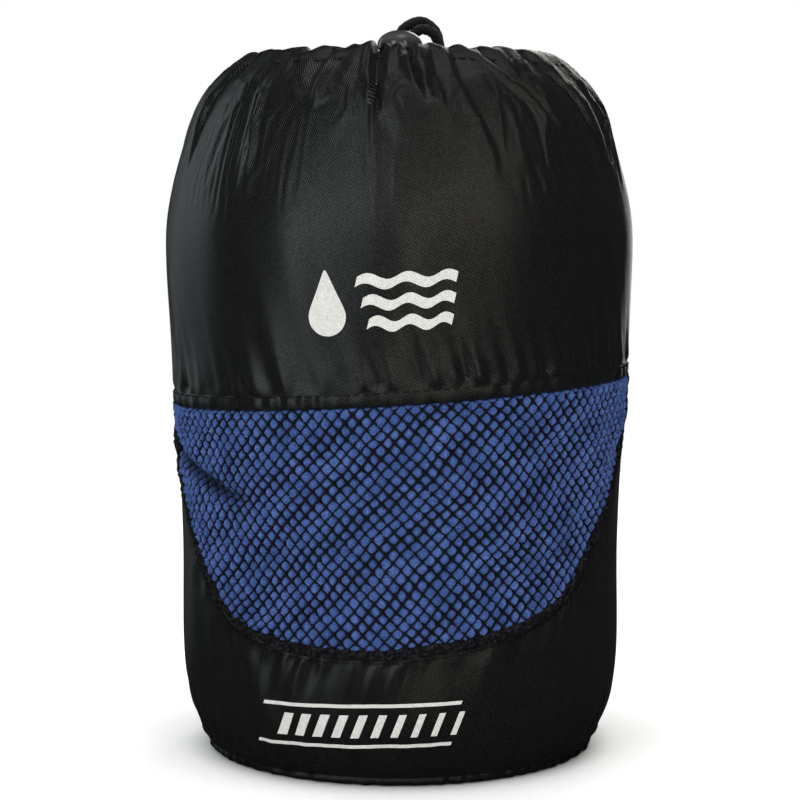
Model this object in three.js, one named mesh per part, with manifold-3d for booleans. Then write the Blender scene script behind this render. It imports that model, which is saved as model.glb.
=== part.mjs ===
// A rolled microfibre towel in its round-bottomed drawstring sack.
// Millimetres, +Z up, origin at the middle of the base, the mesh window facing -Y.
import * as THREE from "three";
import { mergeVertices } from "three/addons/utils/BufferGeometryUtils.js";
import Module from "manifold-3d";

const wasm = await Module();
wasm.setup();

// ---- Driving dimensions -------------------------------------------------------------------

// The filled sack's outline, as height above the floor and radius of the cloth.
const OUTLINE = [
  [0, 55], [6, 58.2], [16, 61.9], [30, 63.7], [60, 63.9], [90, 65], [118, 66.6],
  [145, 68], [160, 66.9], [172, 63.8], [184, 59.5], [192, 54.6], [197, 49.8],
];
const CLOTH = 0.7;            // thickness of a cloth panel with its coating and air
const GAP = 0.3;              // clearance between pieces that touch
const COLUMNS = 40;           // facets round the sack
const BACK_EDGE = 178.2;      // angle from the front, in degrees, where the panels end at the back seam

const RIM_TOP = 2.7;          // welt round the base
const RIM_INNER = 52.2;
const RIM_OUTER = 55.8;
const BASE_THICKNESS = 0.8;

// The D-shaped mesh window: its lower edge by angle from its middle, and its tilted straight top.
const WINDOW_MIDDLE = -1;
const WINDOW_ARC = [[0, 36.4], [20, 37.9], [35, 41], [46, 46.3], [55, 55], [66, 70], [90, 104]];
const WINDOW_TOP = 104.5;
const WINDOW_TILT = 4.1;      // how much higher the window is at its right end than in the middle
const HEM_WIDTH = 3.7;
const TAPE_WIDTH = 2.5;
const NET_HALF_ANGLE = 84;

const PANEL_TOP = 196.3;
const CHANNEL_RADIUS = 45.6;  // the drawcord's circle inside its channel
const CHANNEL_HEIGHT = 196.3;
const TUNNEL_RADIUS = 2.2;
const SLIT_ANGLE = -10;       // where the drawcord comes out, in degrees from the front
const SLIT_WIDTH = 16;
const CORD_RADIUS = 1.5;
const CORD_SIDES = 8;

const TOWEL_TOP = 182.2;
const TOWEL_CLEARANCE = 1.5;  // from the cloth's outer face to the towel
const TOWEL_BASE = 1.2;

const THREAD = 0.5;
const THREAD_OUTSET = 0.35;

// The spring-loaded cord lock stands on the towel, behind the front of the mouth.
const LOCK_Y = -20;
const LOCK_BOTTOM = 182.8;
const LOCK_RIM = 197.2;
const LOCK_RADIUS = 6.6;
const BORE_RADIUS = 4.8;
const BORE_FLOOR = 184;
const STEM_RADIUS = 4.5;
const STEM_BOTTOM = 189.4;
const HEAD_BOTTOM = 201;
const HEAD_TOP = 206.5;
const HEAD_RADIUS = 6.4;
const STRAND_HEIGHT = 193;    // the two strands' centres inside the lock
const STRAND_OFFSET = 1.8;    // half the distance between the strands' centres
const SLOT_WIDTH = 7.2;
const SPRING_RADIUS = 3.6;
const SPRING_WIRE = 0.27;     // radius of the wire, thin enough to close up under the pressed stem
const SPRING_TURNS = 3;

const COLOURS = {
  nylon: 0x1c1e1e, net: 0x0c0e14, terry: 0x3f57a8, thread: 0x101112,
  cord: 0x0d0d0e, plastic: 0x3a3c3e, steel: 0x9a9c9f,
};

// ---- Materials ------------------------------------------------------------------------------

const cloth = () => new THREE.MeshStandardMaterial({ color: COLOURS.nylon, roughness: 0.45, metalness: 0 });
const net = () => new THREE.MeshStandardMaterial({ color: COLOURS.net, roughness: 0.7, metalness: 0 });
const terry = () => new THREE.MeshStandardMaterial({ color: COLOURS.terry, roughness: 1, metalness: 0 });
const thread = () => new THREE.MeshStandardMaterial({ color: COLOURS.thread, roughness: 0.6, metalness: 0 });
const braid = () => new THREE.MeshStandardMaterial({ color: COLOURS.cord, roughness: 0.8, metalness: 0 });
const plastic = () => new THREE.MeshStandardMaterial({ color: COLOURS.plastic, roughness: 0.25, metalness: 0 });
const steel = () => new THREE.MeshStandardMaterial({ color: COLOURS.steel, roughness: 0.3, metalness: 1 });

// ---- Curves of the sack ---------------------------------------------------------------------

/** A smooth curve through [x, y] stations, read at x. */
function through(stations, x) {
  const last = stations.length - 1;
  const clamped = THREE.MathUtils.clamp(x, stations[0][0], stations[last][0]);
  const i = Math.min(last - 1, stations.findLastIndex((station) => station[0] <= clamped));
  const slope = (k) => {
    const a = stations[Math.max(0, k - 1)];
    const b = stations[Math.min(last, k + 1)];
    return (b[1] - a[1]) / (b[0] - a[0]);
  };
  const [x0, y0] = stations[i];
  const [x1, y1] = stations[i + 1];
  const span = x1 - x0;
  const t = (clamped - x0) / span;
  const start = (1 + 2 * t) * (1 - t) ** 2 * y0 + t * t * (3 - 2 * t) * y1;
  return start + span * t * (1 - t) * ((1 - t) * slope(i) - t * slope(i + 1));
}

const radians = THREE.MathUtils.degToRad;
const outline = (height) => through(OUTLINE, height);

/** A point on the sack: angle in degrees from the front, positive towards +X. */
function onCircle(angle, radius, height) {
  const a = radians(angle);
  return new THREE.Vector3(radius * Math.sin(a), -radius * Math.cos(a), height);
}

const windowTop = (angle) => WINDOW_TOP + WINDOW_TILT * Math.sin(radians(angle));

/** Height of the window's lower edge, which meets the window's top at both ends. */
function windowArc(angle) {
  const level = through(WINDOW_ARC, Math.abs(angle - WINDOW_MIDDLE));
  return level + WINDOW_TILT * Math.sin(radians(angle));
}

/** Height that a band of this width covers where the window's lower edge slopes. */
function bandHeight(angle, width) {
  const step = 0.5;
  const rise = windowArc(angle + step) - windowArc(angle - step);
  const run = radians(2 * step) * outline(windowArc(angle));
  return width * Math.hypot(1, rise / run);
}

// ---- Shape helpers --------------------------------------------------------------------------

/** Leaves only the corners of a geometry, each of them once. */
function welded(geometry) {
  geometry.deleteAttribute("normal");
  geometry.deleteAttribute("uv");
  const merged = mergeVertices(geometry, 1e-4);
  merged.computeVertexNormals();
  return merged;
}

function named(name, geometry, material) {
  const mesh = new THREE.Mesh(geometry, material);
  mesh.name = name;
  return mesh;
}

/**
 * A closed skin wrapped round the sack between two angles. bottom and top give its edges by angle,
 * and outset is how far its outer face stands off the sack's outline.
 */
function skin({ from, to, bottom, top, columns, rows, outset = 0, thickness = CLOTH }) {
  const geometry = new THREE.BoxGeometry(1, 1, 1, columns, rows, 1);
  const corners = geometry.attributes.position;
  for (let i = 0; i < corners.count; i += 1) {
    const angle = THREE.MathUtils.lerp(from, to, corners.getX(i) + 0.5);
    const height = THREE.MathUtils.lerp(bottom(angle), top(angle), corners.getY(i) + 0.5);
    const depth = corners.getZ(i) > 0 ? 0 : thickness;
    corners.setXYZ(i, ...onCircle(angle, outline(height) + outset - depth, height));
  }
  return welded(geometry);
}

/** A solid turned about +Z from [radius, height] points, which close on themselves or on the axis. */
function turned(points, segments = COLUMNS) {
  const profile = points.map(([radius, height]) => new THREE.Vector2(radius, height));
  const geometry = new THREE.LatheGeometry(profile, segments);
  geometry.rotateX(Math.PI / 2);
  return welded(geometry);
}

/** Points of a circle in the turning plane, closed on itself. */
function ringSection(radius, height, size, sides) {
  return Array.from({ length: sides + 1 }, (_, i) => {
    const a = -2 * Math.PI * (i % sides) / sides;
    return [radius + size * Math.cos(a), height - size * Math.sin(a)];
  });
}

function tube(points, radius, sides, steps) {
  const section = new THREE.Shape();
  section.absarc(0, 0, radius, 0, 2 * Math.PI);
  const path = new THREE.CatmullRomCurve3(points, false, "centripetal");
  return new THREE.ExtrudeGeometry(section, {
    steps, curveSegments: sides / 2, bevelEnabled: false, extrudePath: path,
  });
}

/** A bar along Y with a rounded rectangular section, centred on the given height. */
function slotCutter(width, low, high, corner, length) {
  const x = width / 2;
  const z = (high - low) / 2;
  const section = new THREE.Shape();
  section.moveTo(-x + corner, -z);
  section.lineTo(x - corner, -z);
  section.absarc(x - corner, -z + corner, corner, -Math.PI / 2, 0);
  section.absarc(x - corner, z - corner, corner, 0, Math.PI / 2);
  section.absarc(-x + corner, z - corner, corner, Math.PI / 2, Math.PI);
  section.absarc(-x + corner, -z + corner, corner, Math.PI, 1.5 * Math.PI);
  const geometry = new THREE.ExtrudeGeometry(section, { depth: length, curveSegments: 3, bevelEnabled: false });
  geometry.translate(0, 0, -length / 2);
  geometry.rotateX(Math.PI / 2);
  geometry.translate(0, 0, (low + high) / 2);
  return welded(geometry);
}

function toSolid(geometry) {
  const mesh = geometry.index && !geometry.attributes.uv ? geometry : welded(geometry);
  return new wasm.Manifold(new wasm.Mesh({
    numProp: 3,
    vertProperties: new Float32Array(mesh.attributes.position.array),
    triVerts: new Uint32Array(mesh.index.array),
  }));
}

function fromSolid(solid) {
  const { vertProperties, triVerts } = solid.getMesh();
  const geometry = new THREE.BufferGeometry();
  geometry.setAttribute("position", new THREE.BufferAttribute(new Float32Array(vertProperties), 3));
  geometry.setIndex(new THREE.BufferAttribute(new Uint32Array(triVerts), 1));
  geometry.computeVertexNormals();
  return geometry;
}

// ---- The towel and the base -----------------------------------------------------------------

function towelRoll() {
  const inside = (height) => [outline(height) - TOWEL_CLEARANCE, height];
  const foot = RIM_INNER - GAP - 0.1;
  const sides = [4, 10, 20, 32, 60, 90, 118, 145, 158, 168, 175].map(inside);
  const shoulder = [[58.8, 179.6], [55, 181.6], [50, TOWEL_TOP]];
  return named("towel_roll", turned([
    [0, TOWEL_BASE], [foot, TOWEL_BASE], [foot, RIM_TOP + GAP], ...sides, ...shoulder, [0, TOWEL_TOP],
  ]), terry());
}

function baseDisc() {
  const radius = RIM_INNER - GAP;
  const section = [[0, 0], [radius, 0], [radius, BASE_THICKNESS], [0, BASE_THICKNESS]];
  return named("base_disc", turned(section), cloth());
}

function baseRim() {
  const crown = RIM_OUTER - 0.6;
  return named("base_rim", turned([
    [RIM_INNER, 0], [crown, 0], [RIM_OUTER, 0.9], [RIM_OUTER, 1.9], [crown, RIM_TOP], [RIM_INNER, RIM_TOP],
    [RIM_INNER, 0],
  ]), cloth());
}

// ---- Cloth panels and the mesh window ---------------------------------------------------------

const allRound = { from: -BACK_EDGE, to: BACK_EDGE, columns: COLUMNS };

function lowerPanel() {
  const top = (angle) => Math.min(windowArc(angle) - bandHeight(angle, 0.5), windowTop(angle) - GAP);
  return named("lower_panel", skin({ ...allRound, bottom: () => RIM_TOP + GAP, top, rows: 11 }), cloth());
}

function windowEdgeTape() {
  const reach = NET_HALF_ANGLE + 2;
  return named("window_edge_tape", skin({
    from: WINDOW_MIDDLE - reach, to: WINDOW_MIDDLE + reach, columns: 28, rows: 1,
    bottom: (angle) => windowArc(angle) + bandHeight(angle, 0.4),
    top: (angle) => windowArc(angle) + bandHeight(angle, TAPE_WIDTH),
  }), net());
}

function meshWindow() {
  return named("mesh_window", skin({
    from: WINDOW_MIDDLE - NET_HALF_ANGLE, to: WINDOW_MIDDLE + NET_HALF_ANGLE, columns: 24, rows: 7,
    bottom: (angle) => windowArc(angle) + bandHeight(angle, TAPE_WIDTH + 0.6),
    top: (angle) => windowTop(angle) - GAP, thickness: 0.5,
  }), net());
}

function windowTopHem() {
  const top = (angle) => windowTop(angle) + HEM_WIDTH;
  return named("window_top_hem", skin({ ...allRound, bottom: windowTop, top, rows: 1 }), cloth());
}

function upperPanel() {
  const bottom = (angle) => windowTop(angle) + HEM_WIDTH + GAP;
  return named("upper_panel", skin({ ...allRound, bottom, top: () => PANEL_TOP, rows: 10 }), cloth());
}

function backSeam() {
  const halfWidth = 180 - BACK_EDGE - 0.4;
  return named("back_seam", skin({
    from: 180 - halfWidth, to: 180 + halfWidth, columns: 1, rows: 20,
    bottom: () => RIM_TOP + GAP, top: () => PANEL_TOP,
  }), cloth());
}

// ---- The drawcord and its channel -------------------------------------------------------------

/** The gathered hem round the mouth: hollow for the drawcord, with a slit inwards. */
function drawcordChannel() {
  const hem = toSolid(turned([
    [49.6, 196.9], [47.6, 199.2], [45, 200.6], [42.8, 200.2], [41.6, 198.2], [41.6, 194.8], [42.8, 192.6],
    [45, 192], [47.4, 193.2], [48.9, 195.2], [49.6, 196.9],
  ]));
  const tunnel = toSolid(turned(ringSection(CHANNEL_RADIUS, CHANNEL_HEIGHT, TUNNEL_RADIUS, 8)));
  const slit = new THREE.BoxGeometry(SLIT_WIDTH, 9, 2 * TUNNEL_RADIUS + 0.4);
  slit.rotateZ(radians(SLIT_ANGLE));
  slit.translate(...onCircle(SLIT_ANGLE, CHANNEL_RADIUS - 2.4, CHANNEL_HEIGHT));
  return named("drawcord_channel", fromSolid(hem.subtract(tunnel).subtract(toSolid(slit))), cloth());
}

/** The part of the drawcord that stays in the channel, from one side of the slit to the other. */
function drawcord() {
  const halfSlit = THREE.MathUtils.radToDeg(SLIT_WIDTH / 2 / CHANNEL_RADIUS);
  const start = SLIT_ANGLE + halfSlit;
  const sweep = 360 - 2 * halfSlit;
  const points = Array.from({ length: 25 }, (_, i) => (
    onCircle(start + sweep * i / 24, CHANNEL_RADIUS, CHANNEL_HEIGHT)
  ));
  return named("drawcord", welded(tube(points, CORD_RADIUS, CORD_SIDES, 40)), braid());
}

// The middle of the two strands, and the direction from it to the right-hand strand. They pass through
// the lock, rise in an arch that turns them one behind the other, and lie on the towel round the mouth.
const PAIR_ROUTE = [
  [[0, -27.5, 193], [1, 0, 0]], [[0, -20, 193], [1, 0, 0]], [[0, -12, 193], [1, 0, 0]],
  [[0, -4.2, 193], [1, 0, 0]], [[0.1, 0.1, 194.8], [1, 0, 0]], [[0.2, 2, 199], [1, 0, 0]],
  [[0.7, 2.3, 204], [0.98, -0.1, -0.15]], [[2.5, 2.4, 208], [0.75, -0.35, -0.56]],
  [[6.2, 2.5, 209.9], [0, -0.72, -0.7]], [[9.9, 2.6, 208], [-0.24, -0.95, -0.2]],
  [[11.6, 2.9, 203.6], [0, -1, 0]], [[12.2, 3.4, 198], [0.1, -0.99, 0]], [[13.4, 4.8, 192.4], [0.3, -0.95, 0]],
  [[16, 7.6, 187.4], [0.5, -0.86, 0]], [[20.4, 11.6, 184.4], [0.66, -0.75, 0]],
  [[25.2, 17.6, 184.1], [0.85, -0.52, 0]], [[25.4, 25.4, 184.1], [0.98, 0.2, 0]],
  [[18.6, 31.6, 184.1], [0.5, 0.87, 0]], [[8, 34.4, 184.1], [0.18, 0.98, 0]],
  [[-6, 34.2, 184.1], [-0.18, 0.98, 0]], [[-19.8, 28.3, 184.1], [-0.6, 0.8, 0]],
  [[-29, 16.8, 184.1], [-0.87, 0.5, 0]],
  [[-32.4, 4.5, 184.1], [-1, 0.1, 0]], [[-30.8, -5, 184.2], [-0.95, -0.3, 0]],
];
// How each strand leaves the slit, before the two run side by side.
const LEFT_START = [
  [-12, -43.7, 196.2], [-9.1, -41.9, 196.1], [-8.1, -38.4, 195.6], [-6.4, -34.6, 194.6], [-3.7, -31, 193.4],
];
const RIGHT_START = [
  [-3.7, -44.5, 196.2], [-4.9, -41.6, 196.1], [-4.6, -38, 195.6], [-2.6, -34.8, 194.6], [0, -31.2, 193.4],
];

/** One tail of the drawcord; side is -1 for the left-hand strand and 1 for the right-hand one. */
function drawcordTail(name, side, beginning) {
  const halfSlit = THREE.MathUtils.radToDeg(SLIT_WIDTH / 2 / CHANNEL_RADIUS) - 1.2;
  const first = onCircle(SLIT_ANGLE + side * halfSlit, CHANNEL_RADIUS, CHANNEL_HEIGHT);
  const beside = PAIR_ROUTE.map(([middle, across]) => (
    new THREE.Vector3(...middle).addScaledVector(new THREE.Vector3(...across), side * STRAND_OFFSET)
  ));
  const points = [first, ...beginning.map((point) => new THREE.Vector3(...point)), ...beside];
  return named(name, welded(tube(points, CORD_RADIUS, CORD_SIDES, 40)), braid());
}

/** Both tails tied together in one overhand knot, with their two short ends. */
function cordKnot() {
  const ball = new THREE.SphereGeometry(1, 14, 10);
  ball.scale(4.6, 5.4, 3.8);
  ball.rotateZ(radians(20));
  ball.translate(-30, -11, 186.4);
  const ends = [
    [[-29.5, -12.5, 185.4], [-26.6, -18.6, 184.3], [-23.2, -24.1, 184.1]],
    [[-29.5, -12.5, 185.4], [-30.2, -19.2, 184.3], [-28.4, -26.2, 184.1]],
  ];
  const pieces = ends.map((route) => (
    toSolid(tube(route.map((point) => new THREE.Vector3(...point)), CORD_RADIUS, CORD_SIDES, 5))
  ));
  const knot = pieces.reduce((whole, piece) => whole.add(piece), toSolid(welded(ball)));
  return named("cord_knot", fromSolid(knot), braid());
}

// ---- The cord lock ------------------------------------------------------------------------------

function cordLockBody() {
  const barrel = toSolid(turned([
    [0, LOCK_BOTTOM], [4.6, LOCK_BOTTOM], [6.1, 183.8], [LOCK_RADIUS, 185.6], [LOCK_RADIUS, 195.8],
    [6.1, LOCK_RIM], [BORE_RADIUS, LOCK_RIM], [BORE_RADIUS, BORE_FLOOR], [0, BORE_FLOOR],
  ], 24));
  const hole = toSolid(slotCutter(SLOT_WIDTH, STRAND_HEIGHT - 2.4, STRAND_HEIGHT + 1.8, 1.5, 20));
  return named("cord_lock_body", fromSolid(barrel.subtract(hole)), plastic());
}

/** The plunger: a domed head on a stem whose slot pinches both strands against the barrel. */
function cordLockButton() {
  const dome = [15, 35, 55, 75].map((angle) => [
    HEAD_RADIUS * Math.cos(radians(angle)), 202.4 + (HEAD_TOP - 202.4) * Math.sin(radians(angle)),
  ]);
  const plunger = toSolid(turned([
    [0, STEM_BOTTOM], [STEM_RADIUS, STEM_BOTTOM], [STEM_RADIUS, HEAD_BOTTOM], [6, HEAD_BOTTOM],
    [HEAD_RADIUS, 201.6], [HEAD_RADIUS, 202.4], ...dome, [0, HEAD_TOP],
  ], 24));
  const slot = toSolid(slotCutter(SLOT_WIDTH, STRAND_HEIGHT - 1.8, STRAND_HEIGHT + 5.3, 1.2, 20));
  return named("cord_lock_button", fromSolid(plunger.subtract(slot)), plastic());
}

function cordLockSpring() {
  const [low, high] = [BORE_FLOOR + 2 * SPRING_WIRE, STEM_BOTTOM - 2 * SPRING_WIRE];
  const steps = 16 * SPRING_TURNS;
  const points = Array.from({ length: steps + 1 }, (_, i) => (
    onCircle(360 * SPRING_TURNS * i / steps, SPRING_RADIUS, THREE.MathUtils.lerp(low, high, i / steps))
  ));
  return named("cord_lock_spring", welded(tube(points, SPRING_WIRE, 6, steps)), steel());
}

// ---- Stitching ------------------------------------------------------------------------------------

/** One row of thread, standing just off the cloth at a height given by angle. */
function stitching(name, from, to, height, columns) {
  return named(name, skin({
    from, to, columns, rows: 1, bottom: height, top: (angle) => height(angle) + THREAD,
    outset: THREAD_OUTSET + THREAD, thickness: THREAD,
  }), thread());
}

function stitchedRows() {
  const hemRow = (angle) => windowTop(angle) + HEM_WIDTH + 0.6;
  const arcRow = (angle) => windowArc(angle) - bandHeight(angle, 1.2);
  const reach = NET_HALF_ANGLE + 2;
  return [
    stitching("channel_stitching", -BACK_EDGE, BACK_EDGE, () => PANEL_TOP - 1.2, COLUMNS),
    stitching("window_top_stitching", -BACK_EDGE, BACK_EDGE, hemRow, COLUMNS),
    stitching("window_arc_stitching", WINDOW_MIDDLE - reach, WINDOW_MIDDLE + reach, arcRow, 28),
    stitching("base_stitching", -BACK_EDGE, BACK_EDGE, () => 2 * RIM_TOP, COLUMNS),
  ];
}

// ---- Assembly -------------------------------------------------------------------------------------

const group = new THREE.Group();
group.add(towelRoll(), baseDisc(), baseRim());
group.add(lowerPanel(), windowEdgeTape(), meshWindow(), windowTopHem(), upperPanel(), backSeam());
group.add(drawcordChannel(), drawcord(), cordKnot());
group.add(drawcordTail("drawcord_tail_left", -1, LEFT_START));
group.add(drawcordTail("drawcord_tail_right", 1, RIGHT_START));
group.add(...stitchedRows());

const lock = new THREE.Group();
lock.position.y = LOCK_Y;
lock.add(cordLockBody(), cordLockButton(), cordLockSpring());
group.add(lock);

export default group;
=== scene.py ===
"""The looks of a rolled microfibre towel in its round-bottomed drawstring sack."""
import math

import bpy
import numpy as np
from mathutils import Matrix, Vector


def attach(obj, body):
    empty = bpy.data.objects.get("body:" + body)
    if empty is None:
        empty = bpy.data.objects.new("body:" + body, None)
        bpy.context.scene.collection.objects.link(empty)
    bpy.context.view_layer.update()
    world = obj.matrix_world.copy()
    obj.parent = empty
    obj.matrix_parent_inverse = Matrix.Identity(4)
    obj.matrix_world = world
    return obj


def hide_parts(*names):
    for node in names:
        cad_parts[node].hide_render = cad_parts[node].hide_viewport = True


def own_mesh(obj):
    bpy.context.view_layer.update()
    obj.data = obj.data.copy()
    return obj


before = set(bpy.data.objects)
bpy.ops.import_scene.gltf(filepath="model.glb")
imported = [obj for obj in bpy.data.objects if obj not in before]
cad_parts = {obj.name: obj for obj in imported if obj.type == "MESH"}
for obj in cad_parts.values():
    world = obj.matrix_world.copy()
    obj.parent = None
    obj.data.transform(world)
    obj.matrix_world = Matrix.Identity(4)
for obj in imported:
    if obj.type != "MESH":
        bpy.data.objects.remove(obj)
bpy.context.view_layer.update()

MM = 0.001

# ---- The sack's shape, as the CAD has it: millimetres, and degrees round from the front -----

OUTLINE = [
    (0, 55), (6, 58.2), (16, 61.9), (30, 63.7), (60, 63.9), (90, 65), (118, 66.6),
    (145, 68), (160, 66.9), (172, 63.8), (184, 59.5), (192, 54.6), (197, 49.8),
]
WINDOW_MIDDLE = -1
WINDOW_ARC = [(0, 36.4), (20, 37.9), (35, 41), (46, 46.3), (55, 55), (66, 70), (90, 104)]
WINDOW_TOP = 104.5
WINDOW_TILT = 4.1
HEM_WIDTH = 3.7
TAPE_WIDTH = 2.5
RIM_TOP = 2.7
PANEL_TOP = 196.5
STITCH_BASE = 2 * RIM_TOP
MEAN_RADIUS = 65


def through(stations, x):
    """A smooth curve through (x, y) stations, read at every x of an array."""
    xs, ys = np.array(stations, float).T
    x = np.clip(np.asarray(x, float), xs[0], xs[-1])
    slopes = np.empty(len(xs))
    slopes[1:-1] = (ys[2:] - ys[:-2]) / (xs[2:] - xs[:-2])
    slopes[0] = (ys[1] - ys[0]) / (xs[1] - xs[0])
    slopes[-1] = (ys[-1] - ys[-2]) / (xs[-1] - xs[-2])
    i = np.clip(np.searchsorted(xs, x, side="right") - 1, 0, len(xs) - 2)
    span = xs[i + 1] - xs[i]
    t = (x - xs[i]) / span
    level = (1 + 2 * t) * (1 - t) ** 2 * ys[i] + t * t * (3 - 2 * t) * ys[i + 1]
    return level + span * t * (1 - t) * ((1 - t) * slopes[i] - t * slopes[i + 1])


def outline(height):
    return through(OUTLINE, height)


def smooth(low, high, x):
    """0 below low, 1 above high, and a soft step between them."""
    t = np.clip((np.asarray(x, float) - low) / (high - low), 0, 1)
    return t * t * (3 - 2 * t)


def hump(x, middle, width):
    return np.exp(-((np.asarray(x, float) - middle) / width) ** 2)


def sine(degrees):
    return np.sin(np.radians(degrees))


def cosine(degrees):
    return np.cos(np.radians(degrees))


def window_top(angle):
    return WINDOW_TOP + WINDOW_TILT * sine(angle)


def window_arc(angle):
    """Height of the window's lower edge."""
    level = through(WINDOW_ARC, np.abs(np.asarray(angle, float) - WINDOW_MIDDLE))
    return level + WINDOW_TILT * sine(angle)


def band_height(angle, width):
    """Height that a band of this width covers where the window's lower edge slopes."""
    step = 0.5
    rise = window_arc(np.asarray(angle) + step) - window_arc(np.asarray(angle) - step)
    run = np.radians(2 * step) * outline(window_arc(angle))
    return width * np.hypot(1, rise / run)


def all_round(columns):
    """Angles all the way round the sack, as one row."""
    return np.linspace(-180, 180, columns, endpoint=False)[None, :]


def place(angle, radius, height):
    """Points in metres, as an array whose last side is x, y, z."""
    angle, radius, height = np.broadcast_arrays(angle, radius, height)
    return np.stack([radius * sine(angle), -radius * cosine(angle), height], -1) * MM


def ripple(x, count, seed, spread=0.25, terms=7):
    """Uneven waves, about count of them in 360 degrees, between about -1 and 1."""
    draw = np.random.default_rng(seed)
    total = np.zeros_like(np.asarray(x, float))
    for _ in range(terms):
        waves = max(1, round(count * (1 + spread * draw.uniform(-1, 1))))
        total = total + np.sin(np.radians(waves * np.asarray(x, float)) + draw.uniform(0, 2 * math.pi))
    return total / math.sqrt(terms)


# ---- Folds of the cloth ------------------------------------------------------------------------

# Creases that run down from the gathered mouth: points of angle and height, then depth, width, and
# which side of the crease the cloth stands up on.
CREASES = [
    ([(-7.7, 200), (-7.4, 192), (-6.2, 183), (-5.0, 174)], 2.9, 1.0, -1),
    ([(-5.5, 184), (-3.6, 179), (-1.8, 174), (-1, 168)], 1.1, 1.6, 1),
    ([(2.6, 200), (3, 196), (4, 190), (7, 183)], 3.4, 1.3, 1),
    ([(-19, 200), (-24.5, 196), (-25.4, 189), (-24, 181)], 2.4, 1.5, 1),
    ([(-33, 200), (-41, 196), (-44.6, 189), (-43.6, 181), (-43, 172), (-41.5, 156)], 2.3, 2.1, 1),
    ([(-60, 200), (-62, 190), (-66, 178), (-66, 160)], 2.0, 2.6, -1),
    ([(11, 200), (11, 192), (12.5, 184), (13, 172)], 1.0, 2.2, -1),
    ([(17.5, 200), (17.4, 191), (19, 185), (22, 178), (24.6, 171), (25, 161)], 1.6, 1.9, -1),
    ([(24.7, 200), (30, 195.6), (37.5, 187.4), (42.4, 181), (42.6, 169)], 2.6, 1.8, -1),
    ([(47, 200), (50, 194), (56, 186), (60, 176), (61, 163)], 1.8, 2.4, 1),
    ([(70, 200), (72, 190), (78, 178), (79, 158)], 2.2, 2.4, -1),
]
BACK_CREASES = 15
FACETS = [(-62, 9), (-18, 7.5), (11.5, 7.5)]    # middle and half width of flatter strips between folds
FACET_DEPTH = 0.6


def all_creases():
    """The creases that are listed, and others round the back."""
    draw = np.random.default_rng(11)
    creases = list(CREASES)
    for i in range(BACK_CREASES):
        top = 88 + i * (196 / BACK_CREASES) + draw.uniform(-4, 4)
        lean = draw.uniform(-6, 6)
        foot = draw.uniform(152, 180)
        line = [(top, 200), (top + 0.3 * lean, 191), (top + 0.8 * lean, 183), (top + lean, foot)]
        creases.append((line, draw.uniform(1.4, 2.8), draw.uniform(1.6, 2.6), draw.choice([-1, 1])))
    return creases


def crease_relief(angle, height):
    """How far the creases push the cloth in or out, in millimetres."""
    total = np.zeros(np.broadcast(angle, height).shape)
    for line, depth, width, side in all_creases():
        heights = np.array([point[1] for point in line][::-1], float)
        angles = np.array([point[0] for point in line][::-1], float)
        middle = np.interp(height, heights, angles)
        apart = (angle - middle + 180) % 360 - 180
        across = np.radians(apart) * outline(height) / width
        strength = depth * smooth(heights[0], heights[0] + 0.55 * (200 - heights[0]), height)
        steep = np.where(across * side > 0, 0.6, 1.7)
        valley = -np.exp(-(across / steep) ** 2)
        ridge = 0.6 * np.exp(-((across - 1.7 * side) / 1.3) ** 2)
        total += strength * (valley + ridge)
    return total


def gathers(angle):
    """The small even folds that the drawcord pulls into the cloth at the mouth."""
    return ripple(angle, 46, 5, 0.35) + 0.5 * ripple(angle, 90, 6, 0.3)


def upper_relief(angle, height):
    """Folds of the cloth above the window."""
    above_hem = height - window_top(angle) - HEM_WIDTH
    flat = -FACET_DEPTH * sum(hump(angle, middle, half) for middle, half in FACETS)
    flat = flat * smooth(0, 12, above_hem) * (1 - smooth(178, 192, height))
    flutes = 0.18 * ripple(angle, 13, 21, 0.5) * smooth(4, 40, above_hem) * (1 - smooth(176, 192, height))
    broad = 0.25 * ripple(angle + 0.12 * height, 6, 22, 0.5) * smooth(0, 30, above_hem)
    gathered = 0.22 * gathers(angle) * smooth(180, 196, height)
    sway = angle + 0.25 * above_hem
    puckers = 0.75 * ripple(sway, 58, 23, 0.5) * np.exp(-above_hem / 7) * smooth(-0.5, 2.5, above_hem)
    pull = 0.25 * ripple(sway, 27, 24, 0.5) * np.exp(-above_hem / 16) * smooth(0, 5, above_hem)
    return crease_relief(angle, height) + flat + flutes + broad + gathered + puckers + pull


def lower_relief(angle, height):
    """Folds of the cloth below the window and at the back."""
    edge = np.minimum(window_arc(angle), window_top(angle))
    below = edge - height
    hung = 0.55 * ripple(angle + 0.3 * below, 52, 31, 0.5) * np.exp(-below / 6) * smooth(0, 2.5, below)
    deep = 0.6 * ripple(angle - 0.2 * below, 20, 32, 0.5) * np.exp(-below / 15) * smooth(0, 6, below)
    above = height - STITCH_BASE
    footed = 0.6 * ripple(angle - 0.3 * above, 48, 33, 0.5) * np.exp(-np.abs(above) / 6) * smooth(0, 3, above)
    rise = 0.5 * ripple(angle + 0.2 * above, 19, 34, 0.5) * np.exp(-np.abs(above) / 16) * smooth(0, 6, above)
    broad = 0.4 * ripple(angle - 0.2 * height, 7, 35, 0.5) * smooth(6, 20, above) * smooth(0, 14, below)
    return hung + deep + footed + rise + broad


# ---- Meshes ------------------------------------------------------------------------------------

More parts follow.
